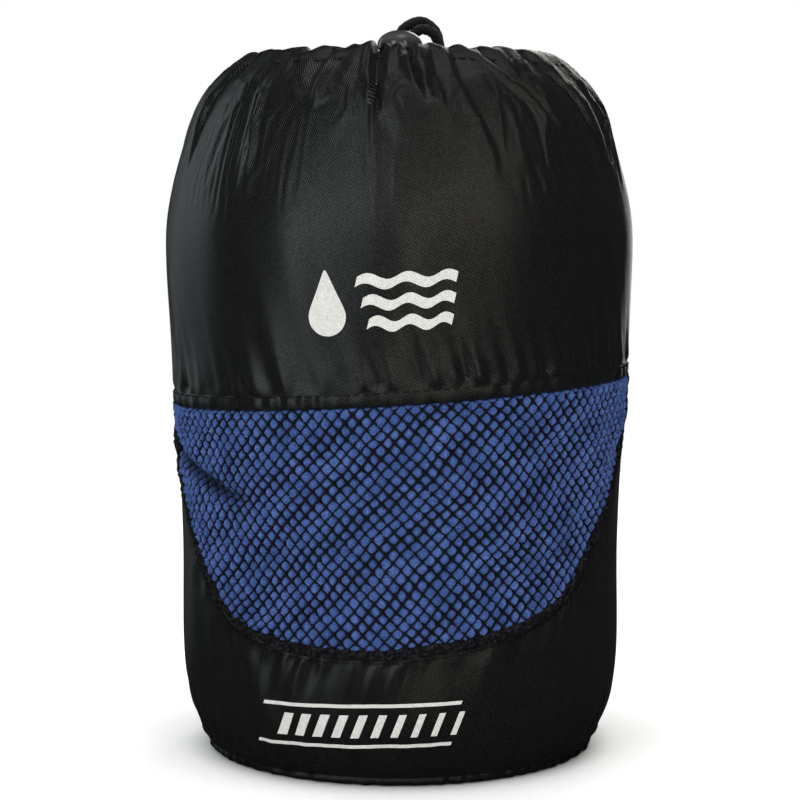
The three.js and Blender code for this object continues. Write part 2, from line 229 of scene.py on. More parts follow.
def add_mesh(name, points, faces, material, uv=None, shade_smooth=True):
    """A mesh object from points and faces, with uv given per point in metres."""
    mesh = bpy.data.meshes.new(name)
    points = [tuple(p) for p in np.asarray(points, float)]
    mesh.from_pydata(points, [], [tuple(int(i) for i in face) for face in faces])
    if uv is not None:
        layer = mesh.uv_layers.new(name="cloth")
        corners = np.empty(len(mesh.loops), np.int32)
        mesh.loops.foreach_get("vertex_index", corners)
        layer.data.foreach_set("uv", np.asarray(uv, np.float32)[corners].ravel())
    mesh.polygons.foreach_set("use_smooth", [shade_smooth] * len(mesh.polygons))
    mesh.materials.append(material)
    piece = bpy.data.objects.new(name, mesh)
    bpy.context.scene.collection.objects.link(piece)
    return piece


def grid_faces(rows, columns, closed_rows=False, closed_columns=False):
    """Quads of a grid of points stored row by row, facing out when columns go round and rows go up."""
    i = np.arange(rows if closed_rows else rows - 1)
    j = np.arange(columns if closed_columns else columns - 1)
    a, b = np.meshgrid(i, j, indexing="ij")
    up, across = (a + 1) % rows, (b + 1) % columns
    quads = np.stack([a * columns + b, a * columns + across, up * columns + across, up * columns + b], -1)
    return quads.reshape(-1, 4)


def add_grid(name, points, material, uv=None, closed_rows=False, closed_columns=False):
    rows, columns = points.shape[:2]
    flat_uv = None if uv is None else np.stack(np.broadcast_arrays(*uv), -1).reshape(-1, 2) * MM
    faces = grid_faces(rows, columns, closed_rows, closed_columns)
    return add_mesh(name, points.reshape(-1, 3), faces, material, flat_uv)


def tangents(points):
    ahead = np.gradient(points, axis=0)
    return ahead / np.linalg.norm(ahead, axis=1, keepdims=True)


def distance_along(points):
    """How far along its path each point is."""
    return np.concatenate([[0], np.cumsum(np.linalg.norm(np.diff(points, axis=0), axis=1))])


def read_along(points, along, wanted):
    """The places on a path at the wanted distances; along holds the distance of each point."""
    return np.stack([np.interp(wanted, along, points[:, k]) for k in range(points.shape[1])], -1)


def carried_frames(points):
    """A direction across the path at each point, carried along it without twisting."""
    ahead = tangents(points)
    start = np.array([0, 0, 1.0]) if abs(ahead[0][2]) < 0.9 else np.array([1.0, 0, 0])
    side = np.cross(ahead[0], start)
    sides = []
    for direction in ahead:
        side = side - direction * np.dot(side, direction)
        side = side / np.linalg.norm(side)
        sides.append(side)
    sides = np.array(sides)
    return sides, np.cross(ahead, sides)


def tube_part(points, radius, sides, relief=None):
    """Points and faces of an open tube along points in metres; relief(along, round) adds to its radius."""
    across, over = carried_frames(points)
    turn = np.linspace(0, 2 * math.pi, sides, endpoint=False)
    ring = np.cos(turn)[None, :, None] * across[:, None] + np.sin(turn)[None, :, None] * over[:, None]
    if relief is not None:
        radius = (radius + relief(distance_along(points)[:, None], turn[None, :]))[..., None]
    vertices = (points[:, None] + radius * ring).reshape(-1, 3)
    return vertices, grid_faces(len(points), sides, closed_columns=True)


def add_tube(name, points, radius, sides, material, relief=None):
    """A tube with closed ends, as a mesh object."""
    vertices, faces = tube_part(points, radius, sides, relief)
    ends = [tuple(range(sides))[::-1], tuple(range(len(vertices) - sides, len(vertices)))]
    turn = np.linspace(0, 2 * math.pi, sides, endpoint=False)[None, :]
    uv = np.stack(np.broadcast_arrays(distance_along(points)[:, None], turn * radius), -1).reshape(-1, 2)
    return add_mesh(name, vertices, [*faces, *ends], material, uv)


def joined(name, parts, material, uv=None):
    """Many small shapes, each (points, faces), as one mesh object."""
    points, faces, start = [], [], 0
    for part_points, part_faces in parts:
        points.append(np.asarray(part_points, float))
        faces.extend(tuple(int(i) + start for i in face) for face in part_faces)
        start += len(part_points)
    return add_mesh(name, np.concatenate(points), faces, material, uv)


def change_faces(piece, faces):
    """Gives a piece these faces in place of its own, on the same points and uv."""
    old = piece.data
    mesh = bpy.data.meshes.new(old.name)
    mesh.from_pydata([tuple(v.co) for v in old.vertices], [], faces)
    if old.uv_layers:
        uv = {loop.vertex_index: tuple(old.uv_layers[0].data[loop.index].uv) for loop in old.loops}
        layer = mesh.uv_layers.new(name="cloth")
        for loop in mesh.loops:
            layer.data[loop.index].uv = uv[loop.vertex_index]
    mesh.polygons.foreach_set("use_smooth", [True] * len(mesh.polygons))
    mesh.materials.append(old.materials[0])
    piece.data = mesh


def finish_piece(piece, body, slot, *nodes):
    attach(piece, body)
    if nodes:
        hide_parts(*nodes)
    return piece


# ---- Materials ---------------------------------------------------------------------------------

class Nodes:
    """A short way to write a material's nodes."""

    def __init__(self, name):
        self.material = bpy.data.materials.new(name)
        self.material.use_nodes = True
        self.tree = self.material.node_tree
        self.shader = self.tree.nodes["Principled BSDF"]

    def add(self, kind, inputs=None, **settings):
        node = self.tree.nodes.new(kind)
        for key, value in settings.items():
            setattr(node, key, value)
        for key, value in (inputs or {}).items():
            self.feed(node.inputs[key], value)
        return node

    def feed(self, socket, value):
        if isinstance(value, bpy.types.NodeSocket):
            self.tree.links.new(value, socket)
        else:
            socket.default_value = value

    def math(self, operation, *values):
        node = self.add("ShaderNodeMath", operation=operation)
        for socket, value in zip(node.inputs, values):
            self.feed(socket, value)
        return node.outputs[0]

    def noise(self, vector, scale, detail=2, roughness=0.5):
        node = self.add("ShaderNodeTexNoise", {"Vector": vector, "Scale": scale, "Detail": detail,
                                               "Roughness": roughness})
        return node.outputs["Fac"]

    def ramp(self, factor, low, high, colours):
        """A colour that goes through colours as factor goes from low to high."""
        node = self.add("ShaderNodeValToRGB", {"Fac": factor})
        band = node.color_ramp
        band.elements[0].position, band.elements[1].position = low, high
        band.elements[0].color, band.elements[1].color = (*colours[0], 1), (*colours[-1], 1)
        for i, colour in enumerate(colours[1:-1], 1):
            stop = band.elements.new(low + (high - low) * i / (len(colours) - 1))
            stop.color = (*colour, 1)
        return node.outputs["Color"]

    def mix(self, factor, a, b):
        node = self.add("ShaderNodeMix", data_type="RGBA")
        self.feed(node.inputs[0], factor)
        self.feed(node.inputs[6], a)
        self.feed(node.inputs[7], b)
        return node.outputs[2]

    def bump(self, height, distance, strength=1.0):
        node = self.add("ShaderNodeBump", {"Height": height, "Distance": distance, "Strength": strength})
        return node.outputs["Normal"]

    def place(self, kind="Object"):
        return self.add("ShaderNodeTexCoord").outputs[kind]

    def set(self, **values):
        for key, value in values.items():
            self.feed(self.shader.inputs[key.replace("_", " ")], value)
        return self.material


TWILL_PITCH = 0.56 * MM
TWILL_SLOPE = 54          # degrees that the ribs lean from the upright


def twill_rib(n):
    """The twill's ribs, from -1 to 1, and how far up the cloth each point is."""
    flat = n.add("ShaderNodeSeparateXYZ", {"Vector": n.place("UV")})
    along = n.math("MULTIPLY", flat.outputs["X"], math.sin(math.radians(TWILL_SLOPE)))
    up = n.math("MULTIPLY", flat.outputs["Y"], math.cos(math.radians(TWILL_SLOPE)))
    rib = n.math("SINE", n.math("MULTIPLY", n.math("ADD", along, up), 2 * math.pi / TWILL_PITCH))
    return rib, flat.outputs["Y"]


def nylon_material():
    """Black twill with a satin face: fine ribs that run down to the right."""
    n = Nodes("black_twill")
    rib, upward = twill_rib(n)
    yarn = n.math("SINE", n.math("MULTIPLY", upward, 2 * math.pi / (0.5 * TWILL_PITCH)))
    weave = n.math("ADD", rib, n.math("MULTIPLY", yarn, 0.35))
    place_ = n.place()
    patch = n.noise(place_, 24, 3)
    speckle = n.noise(place_, 1900, 2)
    lifted = n.math("MULTIPLY_ADD", weave, 0.2, 0.5)
    tone = n.math("ADD", lifted, n.math("MULTIPLY_ADD", speckle, 0.5, -0.25))
    colours = [(0.001, 0.0012, 0.0015), (0.004, 0.0045, 0.0045), (0.018, 0.018, 0.0175)]
    colour = n.ramp(tone, 0.25, 0.8, colours)
    gloss = n.ramp(tone, 0.25, 0.75, [(0.12, 0.12, 0.12), (1, 1, 1)])
    normal = n.bump(n.math("ADD", weave, speckle), 0.02 * MM, 1.0)
    return n.set(
        Base_Color=colour, Roughness=n.math("MULTIPLY_ADD", patch, 0.10, 0.25), Normal=normal,
        Specular_IOR_Level=gloss, Sheen_Weight=0.02, Sheen_Roughness=0.4, Sheen_Tint=(0.6, 0.62, 0.65, 1),
    )


def terry_material(with_painted_shade):
    """Blue looped pile; with painted shade stored, it is darker down between the loops and in the fold."""
    n = Nodes("blue_pile_painted_shade" if with_painted_shade else "blue_terry")
    place_ = n.place()
    loops = n.add("ShaderNodeTexVoronoi", {"Vector": place_, "Scale": 2300.0, "Randomness": 1.0})
    fibres = n.noise(place_, 3400, 3, 0.7)
    patch = n.noise(place_, 140, 3)
    tone = n.math("ADD", n.math("MULTIPLY", fibres, 0.8), n.math("MULTIPLY", patch, 0.25))
    colour = n.ramp(tone, 0.42, 0.66, [(0.017, 0.037, 0.135), (0.045, 0.090, 0.27), (0.112, 0.18, 0.46)])
    if with_painted_shade:
        # painted shade: where the stored light is low, between the loops and in the fold, the pile's colour
        # goes to near-black blue
        top = n.add("ShaderNodeAttribute", attribute_name="painted_pile_light").outputs["Fac"]
        colour = n.mix(n.math("POWER", top, 1.3), (0.002, 0.003, 0.018, 1), colour)
    near = n.math("SUBTRACT", 1.0, loops.outputs["Distance"])
    normal = n.bump(n.math("ADD", near, fibres), 0.16 * MM, 0.8)
    return n.set(
        Base_Color=colour, Roughness=0.95, Normal=normal, Specular_IOR_Level=0.12,
        Sheen_Weight=0.12, Sheen_Roughness=0.5, Sheen_Tint=(0.45, 0.6, 1, 1),
    )


def fibre_material(name, scale, detail, light_from, colours, relief, strength, **settings):
    """Black fibres: a noise of this scale shades them between two colours and roughens them by relief mm."""
    n = Nodes(name)
    fibres = n.noise(n.place(), scale, detail)
    colour = n.ramp(fibres, 0.3, light_from, colours)
    return n.set(Base_Color=colour, Normal=n.bump(fibres, relief * MM, strength), **settings)


def tape_material():
    """The net's doubled, tightly stitched edge, with some blue lint in it."""
    n = Nodes("net_edge")
    place_ = n.place()
    fibres = n.noise(place_, 1100, 3, 0.7)
    lint = n.noise(place_, 1500, 2)
    dark = n.ramp(fibres, 0.38, 0.66, [(0.0006, 0.0006, 0.001), (0.004, 0.004, 0.006), (0.020, 0.020, 0.022)])
    colour = n.mix(n.math("GREATER_THAN", lint, 0.7), dark, (0.008, 0.011, 0.035, 1))
    return n.set(Base_Color=colour, Roughness=0.85, Normal=n.bump(fibres, 0.4 * MM), Specular_IOR_Level=0.25)


def plastic_material():
    """Dark grey moulded plastic, polished by handling."""
    n = Nodes("lock_plastic")
    place_ = n.place()
    grain = n.noise(place_, 900, 2)
    patch = n.noise(place_, 160, 3)
    colour = n.ramp(patch, 0.3, 0.7, [(0.030, 0.031, 0.033), (0.048, 0.049, 0.051)])
    return n.set(Base_Color=colour, Roughness=n.math("MULTIPLY_ADD", patch, 0.14, 0.16),
                 Normal=n.bump(grain, 0.02 * MM, 0.4), Coat_Weight=0.3, Coat_Roughness=0.12)


def steel_material():
    """Bright spring wire with fine drawing lines."""
    n = Nodes("spring_wire")
    lines = n.noise(n.place(), 2600, 2)
    colour = n.ramp(lines, 0.3, 0.7, [(0.42, 0.42, 0.43), (0.62, 0.62, 0.63)])
    return n.set(Base_Color=colour, Metallic=1.0, Roughness=n.math("MULTIPLY_ADD", lines, 0.15, 0.22))


def print_material():
    """White screen ink that takes the twill's texture."""
    n = Nodes("screen_ink")
    rib, _ = twill_rib(n)
    speckle = n.math("MULTIPLY_ADD", n.noise(n.place(), 1400, 2), 0.5, -0.25)
    tone = n.math("ADD", n.math("MULTIPLY_ADD", rib, 0.12, 0.5), speckle)
    colour = n.ramp(tone, 0.25, 0.7, [(0.42, 0.42, 0.41), (0.70, 0.69, 0.66)])
    return n.set(Base_Color=colour, Roughness=0.6, Normal=n.bump(rib, 0.03 * MM, 0.8))


NYLON = nylon_material()
TERRY = terry_material(False)
PILE_WITH_PAINTED_SHADE = terry_material(True)
NET = fibre_material("black_net", 5200, 2, 0.75, [(0.0015, 0.0016, 0.004), (0.010, 0.010, 0.014)], 0.05, 0.7,
                     Roughness=0.7, Specular_IOR_Level=0.25)
TAPE = tape_material()
THREAD = fibre_material("sewing_thread", 4000, 2, 0.7, [(0.002, 0.002, 0.0025), (0.012, 0.012, 0.0125)],
                        0.04, 1.0, Roughness=0.7, Specular_IOR_Level=0.15)
CORD = fibre_material("black_braid", 3200, 3, 0.75, [(0.0025, 0.0025, 0.003), (0.014, 0.014, 0.015)],
                      0.12, 1.0, Roughness=0.85, Specular_IOR_Level=0.12, Sheen_Weight=0.08)
PLASTIC = plastic_material()
STEEL = steel_material()
INK = print_material()


# ---- Camera, light and floor ----------------------------------------------------------------------

def add_camera():
    """At the height of the sack's upper part, looking slightly down."""
    camera = bpy.data.objects.new("camera", bpy.data.cameras.new("camera"))
    camera.data.lens = 95.7
    camera.data.sensor_width = 36
    camera.data.shift_y = -0.07
    camera.location = (0, -0.623, 0.1506)
    camera.rotation_euler = (math.radians(90 - 3.1), 0, 0)
    bpy.context.scene.collection.objects.link(camera)
    bpy.context.scene.camera = camera


def add_area(name, location, target, size, power, colour, size_y=None):
    light = bpy.data.objects.new(name, bpy.data.lights.new(name, "AREA"))
    light.data.energy = power
    light.data.color = colour
    light.data.size = size
    if size_y is not None:
        light.data.shape = "RECTANGLE"
        light.data.size_y = size_y
    light.location = location
    light.rotation_euler = (Vector(target) - Vector(location)).to_track_quat("-Z", "Y").to_euler()
    bpy.context.scene.collection.objects.link(light)
    return light


CEILING_GLOW = 0.22
FLOOR_RADIUS = 0.7
STRIP_LEVEL = 0.36
STRIP_HEIGHT = 0.75
STRIPS = [    # name, x, y, width, power and colour of the upright strips, which the cloth's highlights show
    ("left front strip", -0.49, -0.76, 0.24, 1.9, (0.90, 0.99, 1)),
    ("right front strip", 0.38, -0.82, 0.16, 1.3, (1, 0.92, 0.78)),
    ("left back strip", -0.72, 0.54, 0.3, 0.7, (0.84, 0.97, 1)),
    ("right back strip", 0.25, 0.87, 0.3, 1.8, (1, 0.96, 0.9)),
]


def studio_world():
    """A pale wall all round up to just above eye level, and a dim ceiling."""
    world = bpy.data.worlds.new("studio")
    world.use_nodes = True
    tree = world.node_tree
    direction = tree.nodes.new("ShaderNodeTexCoord")
    split = tree.nodes.new("ShaderNodeSeparateXYZ")
    level = tree.nodes.new("ShaderNodeValToRGB")
    tree.links.new(direction.outputs["Generated"], split.inputs[0])
    tree.links.new(split.outputs["Z"], level.inputs["Fac"])
    tree.links.new(level.outputs["Color"], tree.nodes["Background"].inputs["Color"])
    wall, ceiling = level.color_ramp.elements
    wall.position, wall.color = 0.16, (1, 1, 1, 1)
    ceiling.position, ceiling.color = 0.34, (*3 * (CEILING_GLOW,), 1)
    return world


def add_studio():
    """Light for a black cloth: the world, the overhead light and the floor aren't mirrored in it."""
    bpy.context.scene.world = studio_world()
    bpy.context.scene.world.cycles_visibility.glossy = False
    bpy.context.scene.view_settings.view_transform = "Standard"
    overhead = add_area("overhead", (0, 0, 1.25), (0, 0, 0), 1.7, 27, (1, 1, 1))
    overhead.visible_glossy = False
    add_area("top glow", (0.1, -0.1, 1.2), (0, 0, 0), 0.45, 0.9, (1, 1, 1))
    for name, x, y, width, power, colour in STRIPS:
        add_area(name, (x, y, STRIP_LEVEL), (0, 0, 0.12), width, power, colour, STRIP_HEIGHT)


def add_floor():
    n = Nodes("pale_floor")
    patch = n.noise(n.place(), 3, 2)
    colour = n.ramp(patch, 0.3, 0.7, [(0.92, 0.92, 0.92), (0.95, 0.95, 0.95)])
    material = n.set(Base_Color=colour, Roughness=0.8, Specular_IOR_Level=0.2)
    turn = np.linspace(0, 2 * math.pi, 96, endpoint=False)
    rim = np.stack([FLOOR_RADIUS * np.cos(turn), FLOOR_RADIUS * np.sin(turn), 0 * turn], 1)
    floor = add_mesh("floor", rim, [tuple(range(len(turn)))], material, shade_smooth=False)
    floor.visible_glossy = False


# ---- Cloth panels ------------------------------------------------------------------------------

def cloth_uv(angle, height):
    return np.radians(angle) * MEAN_RADIUS, height


def add_upper_panel(columns=640, rows=151):
    angle = all_round(columns)
    share = np.linspace(0, 1, rows)[:, None]
    bottom = window_top(angle) + HEM_WIDTH - 0.3
    height = bottom + share * (PANEL_TOP + 0.4 - bottom)
    radius = outline(height) + upper_relief(angle, height)
    uv = cloth_uv(angle, height)
    points = place(angle, radius, height)
    points = settled(points, angle, height)
    piece = add_grid("upper_cloth", points, NYLON, uv, closed_columns=True)
    return finish_piece(piece, "sack", "nylon", "upper_panel")


CUT_RADIUS = 66.5         # of the straight tube that the upper cloth is cut as
SETTLE_FRAMES = 20
SETTLE_FROM = 150         # height from which the settled shape starts to be used
SETTLE_SHARE = 0.7        # how much of the settled shape is used, and half of it near the mouth
MOST_MOVED = 4.0 * MM


def settled(points, angle, height):
    """The gathered cloth after it has buckled: it was cut as a straight tube, and is drawn in at the mouth.

    The simulation runs on every other point, and the points between follow it.
    """
    start, coarse_angle, coarse_height = points[::2, ::2], angle[:, ::2], height[::2, ::2]
    moved = simulated(start, coarse_angle, coarse_height) - start
    far = np.linalg.norm(moved, axis=2, keepdims=True)
    moved = moved * np.minimum(1, MOST_MOVED / np.maximum(far, 1e-9))
    share = smooth(SETTLE_FROM, SETTLE_FROM + 14, height) * smooth(5, 12, 180 - np.abs(angle))
    share = share * SETTLE_SHARE * (1 - 0.5 * smooth(182, 193, height))
    return points + share[..., None] * between(moved, points.shape)


def between(coarse, shape):
    """Values for a whole grid from those of every other point; its columns close on themselves."""
    columns = np.empty((coarse.shape[0], shape[1], 3))
    columns[:, ::2] = coarse
    columns[:, 1::2] = (coarse + np.roll(coarse, -1, axis=1)) / 2
    full = np.empty(shape)
    full[::2] = columns
    full[1:-1:2] = (columns[:-1] + columns[1:]) / 2
    return full


def simulated(start, angle, height):
    """Blender's cloth, run on a grid of points."""
    rows, columns = height.shape
    steps = np.linalg.norm(np.diff(start, axis=0), axis=2).mean(1) / MM    # from each row to the next
    level = height.min() + np.concatenate([[0], np.cumsum(steps)])[:, None]
    cut = place(angle, np.maximum(outline(height), CUT_RADIUS) + crease_relief(angle, height), level)
    cloth_piece = add_grid("settling", start, NYLON, closed_columns=True)
    cloth_piece.shape_key_add(name="hanging")
    cloth_piece.shape_key_add(name="cut").data.foreach_set("co", cut.ravel())
    held = cloth_piece.vertex_groups.new(name="held")
    held.add([*range(2 * columns), *range((rows - 2) * columns, rows * columns)], 1.0, "REPLACE")
    core = add_core()
    cloth = cloth_piece.modifiers.new("cloth", "CLOTH")
    cloth.settings.quality = 6
    cloth.settings.mass = 0.12
    cloth.settings.tension_stiffness = 18
    cloth.settings.compression_stiffness = 18
    cloth.settings.shear_stiffness = 6
    cloth.settings.bending_stiffness = 0.1
    cloth.settings.air_damping = 2
    cloth.settings.effector_weights.gravity = 0
    cloth.settings.vertex_group_mass = "held"
    cloth.settings.rest_shape_key = cloth_piece.data.shape_keys.key_blocks["cut"]
    cloth.settings.use_pressure = True
    cloth.settings.uniform_pressure_force = 0.35
    cloth.collision_settings.distance_min = 0.4 * MM
    cloth.point_cache.frame_start = 1
    cloth.point_cache.frame_end = SETTLE_FRAMES
    for frame_number in range(1, SETTLE_FRAMES + 1):
        bpy.context.scene.frame_set(frame_number)
    graph = bpy.context.evaluated_depsgraph_get()
    flat = np.empty(rows * columns * 3)
    cloth_piece.evaluated_get(graph).data.vertices.foreach_get("co", flat)
    bpy.data.objects.remove(cloth_piece)
    bpy.data.objects.remove(core)
    bpy.context.scene.frame_set(1)
    return flat.reshape(rows, columns, 3)


def add_core():
    """The rolled towel's outside, for the cloth to lie against while it settles."""
    angle = all_round(96)
    height = np.linspace(90, 190, 40)[:, None]
    core = add_grid("core", place(angle, outline(height) - 2.6, height), NYLON, closed_columns=True)
    core.modifiers.new("collision", "COLLISION")
    core.collision.thickness_outer = 0.3 * MM
    return core


def add_lower_panel(columns=640, rows=120):
    angle = all_round(columns)
    share = np.linspace(0, 1, rows)[:, None]
    top = np.minimum(window_arc(angle), window_top(angle) - 0.2)
    height = RIM_TOP + share * (top - RIM_TOP)
    radius = outline(height) + lower_relief(angle, height)
    uv = cloth_uv(angle, height)
    piece = add_grid("lower_cloth", place(angle, radius, height), NYLON, uv, closed_columns=True)
    return finish_piece(piece, "sack", "nylon", "lower_panel")


def hem_wave(angle):
    return 0.25 * ripple(angle, 60, 41, 0.5) - 0.3


def add_hem(columns=640):
    """The folded hem along the window's top: a flattened roll with puckered edges."""
    angle = all_round(columns)
    low = window_top(angle) - 0.3 + 0.12 * ripple(angle, 70, 42)
    high = window_top(angle) + HEM_WIDTH
    piece = add_band("window_hem", angle, low, high, 0.6, NYLON, hem_wave(angle), 20)
    return finish_piece(piece, "sack", "nylon", "window_top_hem")


# ---- The mesh window and the pile that shows through it ----------------------------------------

CELL_WIDTH = 3.8
CELL_HEIGHT = 4.05
NET_HALF_ANGLE = 88
TAPE_HALF_ANGLE = 89
SEAM_HALF_ANGLE = 87
LONG_PULLS, SHORT_PULLS = 9, 8          # waves that pull the net out of line
DEGREES_PER_MM = math.degrees(1 / MEAN_RADIUS)


def net_warp(along, down):
    """How the soft net is pulled out of its even diamonds, in millimetres."""
    draw = np.random.default_rng(51)
    shift = np.zeros((2,) + np.broadcast(along, down).shape)
    pulls = LONG_PULLS * [(14, 46, 0.009, 0)] + SHORT_PULLS * [(5, 10, 0, 0.06)]
    for shortest, longest, growth, least in pulls:
        length = draw.uniform(shortest, longest)
        heading = draw.uniform(0, math.pi)
        phase = draw.uniform(0, 2 * math.pi)
        wave = np.sin(2 * math.pi * (along * math.cos(heading) + down * math.sin(heading)) / length + phase)
        size = growth * length + least
        shift[0] += size * draw.uniform(-1, 1) * wave
        shift[1] += size * draw.uniform(-1, 1) * wave
    return shift


def net_place(along, down):
    """Angle and height on the sack of a point of the net, given along it and down from its top."""
    sideways, lower = net_warp(along, down)
    angle = WINDOW_MIDDLE + (along + sideways) * DEGREES_PER_MM
    height = window_top(angle) - down - lower * smooth(0, 6, down)
    from_fold = height - through(WINDOW_FOLD, angle)
    gathered = 0.5 * from_fold * hump(from_fold, 0, 5.5) * fold_strength(angle)
    return angle, height - gathered


WINDOW_FOLD = [(-90, 92), (-72, 86.7), (-60, 82.2), (-47.6, 78.4), (-36, 77.4)]


def fold_strength(angle):
    return 1 - smooth(-54, -34, angle)


def window_relief(angle, height):
    """Soft dents of the roll behind the net, and one slanting fold at the left."""
    dent = -2.2 * hump(height, through(WINDOW_FOLD, angle), 2.0) * fold_strength(angle)
    broad = 0.35 * ripple(angle + 0.5 * height, 12, 52, 0.5)
    broad = broad + 0.15 * ripple(1.7 * height - angle, 21, 53, 0.5)
    return dent + broad * smooth(0, 8, window_top(angle) - height)


def cell_distance(along, down):
    """0 at the middle of each of the net's cells and 1 on its threads."""
    def from_middle(a, b):
        a = 2 * np.abs(a - np.round(a))
        b = 2 * np.abs(b - np.round(b))
        return (a ** 1.35 + b ** 1.35) ** (1 / 1.35)
    a, b = along / CELL_WIDTH, down / CELL_HEIGHT
    return np.minimum(from_middle(a, b), from_middle(a + 0.5, b + 0.5))


NUB = 0.93                # share of a cell's half width that its bulge of pile fills
NUB_RISE = 2.5            # how far the pile bulges through a cell


def add_pile(columns=560, rows=170):
    """The towel's loops, pressed against the net and bulging through each cell."""
    reach = NET_HALF_ANGLE / DEGREES_PER_MM
    along = np.linspace(-reach, reach, columns)[None, :]
    angle = WINDOW_MIDDLE + along * DEGREES_PER_MM
    depth = np.maximum(window_top(angle) - window_arc(angle), 0) + 1.0
    down = -1.0 + (depth + 1.0) * np.linspace(1, 0, rows)[:, None]
    along = np.broadcast_to(along, down.shape)
    angle, height = net_place(along, down)
    draw = np.random.default_rng(54)
    cell = np.round(along / CELL_WIDTH * 2) * 31 + np.round(down / CELL_HEIGHT * 2) * 17
    plump = 1 + 0.10 * np.sin(cell * 12.9898)
    near = np.clip(cell_distance(along, down) / (NUB * plump), 0, 1)
    bulge = NUB_RISE * np.sqrt(1 - near ** 2.8)
    fuzz = draw.standard_normal(down.shape)
    above_arc = height - window_arc(angle) - band_height(angle, 1.2)
    edge = smooth(0, 1.6, above_arc) * smooth(-0.4, 0.8, window_top(angle) - height)
    radius = outline(height) - 2.0 + bulge * edge - 0.9 * (1 - edge) + 0.15 * fuzz
    radius = radius + window_relief(angle, height)
    piece = add_grid("towel_pile", place(angle, radius, height), PILE_WITH_PAINTED_SHADE, cloth_uv(angle, height))
    # painted shade: the pile's colour is darker down between the cells' bulges and in the slanting fold at
    # the left
    painted_fold_shade = hump(height, through(WINDOW_FOLD, angle), 2.3) * fold_strength(angle)
    light = np.clip(bulge * edge / NUB_RISE, 0, 1) * (1 - 0.8 * painted_fold_shade)
    add_shade(piece, light)
    return finish_piece(piece, "sack", "terry")


def add_shade(piece, light):
    """Painted shade per point for the pile's colour: 0 down between the loops, 1 on top of them, and lower in
    the slanting fold.
    """
    shade = piece.data.attributes.new("painted_pile_light", "FLOAT", "POINT")
    shade.data.foreach_set("value", np.asarray(light, np.float32).ravel())


def net_threads():
    """The two families of slanting threads, each thread as a list of points."""
    reach = NET_HALF_ANGLE / DEGREES_PER_MM
    deepest = WINDOW_TOP - WINDOW_ARC[0][1] + WINDOW_TILT + 2
    down = np.arange(-0.8, deepest, 0.8)
    eased = down - 0.55 * CELL_HEIGHT / (4 * math.pi) * np.sin(4 * math.pi * down / CELL_HEIGHT)
    drift = CELL_WIDTH / CELL_HEIGHT * eased
    first = int((reach + drift[-1]) / CELL_WIDTH) + 1
    for lean in (-1, 1):
        for k in range(-first, first + 1):
            along = CELL_WIDTH * (k + 0.5) + lean * drift
            angle, height = net_place(along, down)
            inside = (np.abs(along) < reach) & (height > window_arc(angle) + 0.8)
            runs = np.flatnonzero(inside)
            if len(runs) < 4:
                continue
            part = slice(runs[0], runs[-1] + 1)
            over = 0.16 * lean * np.cos(4 * math.pi * down[part] / CELL_HEIGHT)
            under_hem = 1.1 * (1 - smooth(-0.2, 1.6, down[part]))
            lifted = window_relief(angle[part], height[part]) - under_hem
            radius = outline(height[part]) - 0.1 + over + lifted
            yield place(angle[part], radius, height[part])


THREAD_RADIUS = 0.25


def add_net():
    parts = [tube_part(points, THREAD_RADIUS * MM, 5) for points in net_threads()]
    piece = joined("window_net", parts, NET)
    return finish_piece(piece, "sack", "net", "mesh_window")


def add_band(name, angle, low, high, stand, material, body_wave, rows=18):
    """A rounded, slightly uneven band on the sack between two heights given by angle."""
    turn = np.linspace(0, 2 * math.pi, rows, endpoint=False)[:, None]
    half = (high - low) / 2
    height = (low + high) / 2 - half * np.cos(turn)
    bulge = stand * np.abs(np.sin(turn)) ** 0.7 * np.sign(np.sin(turn))
    radius = outline(height) + body_wave + bulge
    whole = angle[0, 0] <= -180
    points = place(angle, radius, height)
    return add_grid(name, points, material, cloth_uv(angle, height), closed_rows=True, closed_columns=whole)


def add_window_tape(columns=420):
    """The net's doubled edge, caught in the curved seam."""
    angle = WINDOW_MIDDLE + np.linspace(-TAPE_HALF_ANGLE, TAPE_HALF_ANGLE, columns)[None, :]
    draw = np.random.default_rng(61)
    low = window_arc(angle) - band_height(angle, 0.3)
    width = TAPE_WIDTH + 0.3 + 0.25 * ripple(angle, 60, 62, 0.5)
    high = np.minimum(window_arc(angle) + band_height(angle, width), window_top(angle) + 0.5)
    wave = 0.2 * ripple(angle, 70, 63, 0.5) + 0.14 * draw.standard_normal((18, columns))
    piece = add_band("window_tape", angle, low, high, 0.8, TAPE, wave)
    return finish_piece(piece, "sack", "net", "window_edge_tape")


# ---- Base, back seam and mouth ------------------------------------------------------------------

WELT_RADIUS = 54.6
WELT_HALF = 1.5
WELT_MIDDLE = 1.65
DISC_RADIUS = 53.6


def add_base_rim(columns=560):
    angle = all_round(columns)
    turn = np.linspace(0, 2 * math.pi, 20, endpoint=False)[:, None]
    wave = 0.25 * ripple(angle, 64, 71, 0.5)
    radius = WELT_RADIUS + WELT_HALF * np.sin(turn) + wave
    height = WELT_MIDDLE - WELT_HALF * np.cos(turn) + 0.05 * ripple(angle, 48, 72)
    points = place(angle, radius, height)
    uv = cloth_uv(angle, height + WELT_HALF * turn)
    piece = add_grid("base_welt", points, NYLON, uv, closed_rows=True, closed_columns=True)
    return finish_piece(piece, "sack", "nylon", "base_rim")


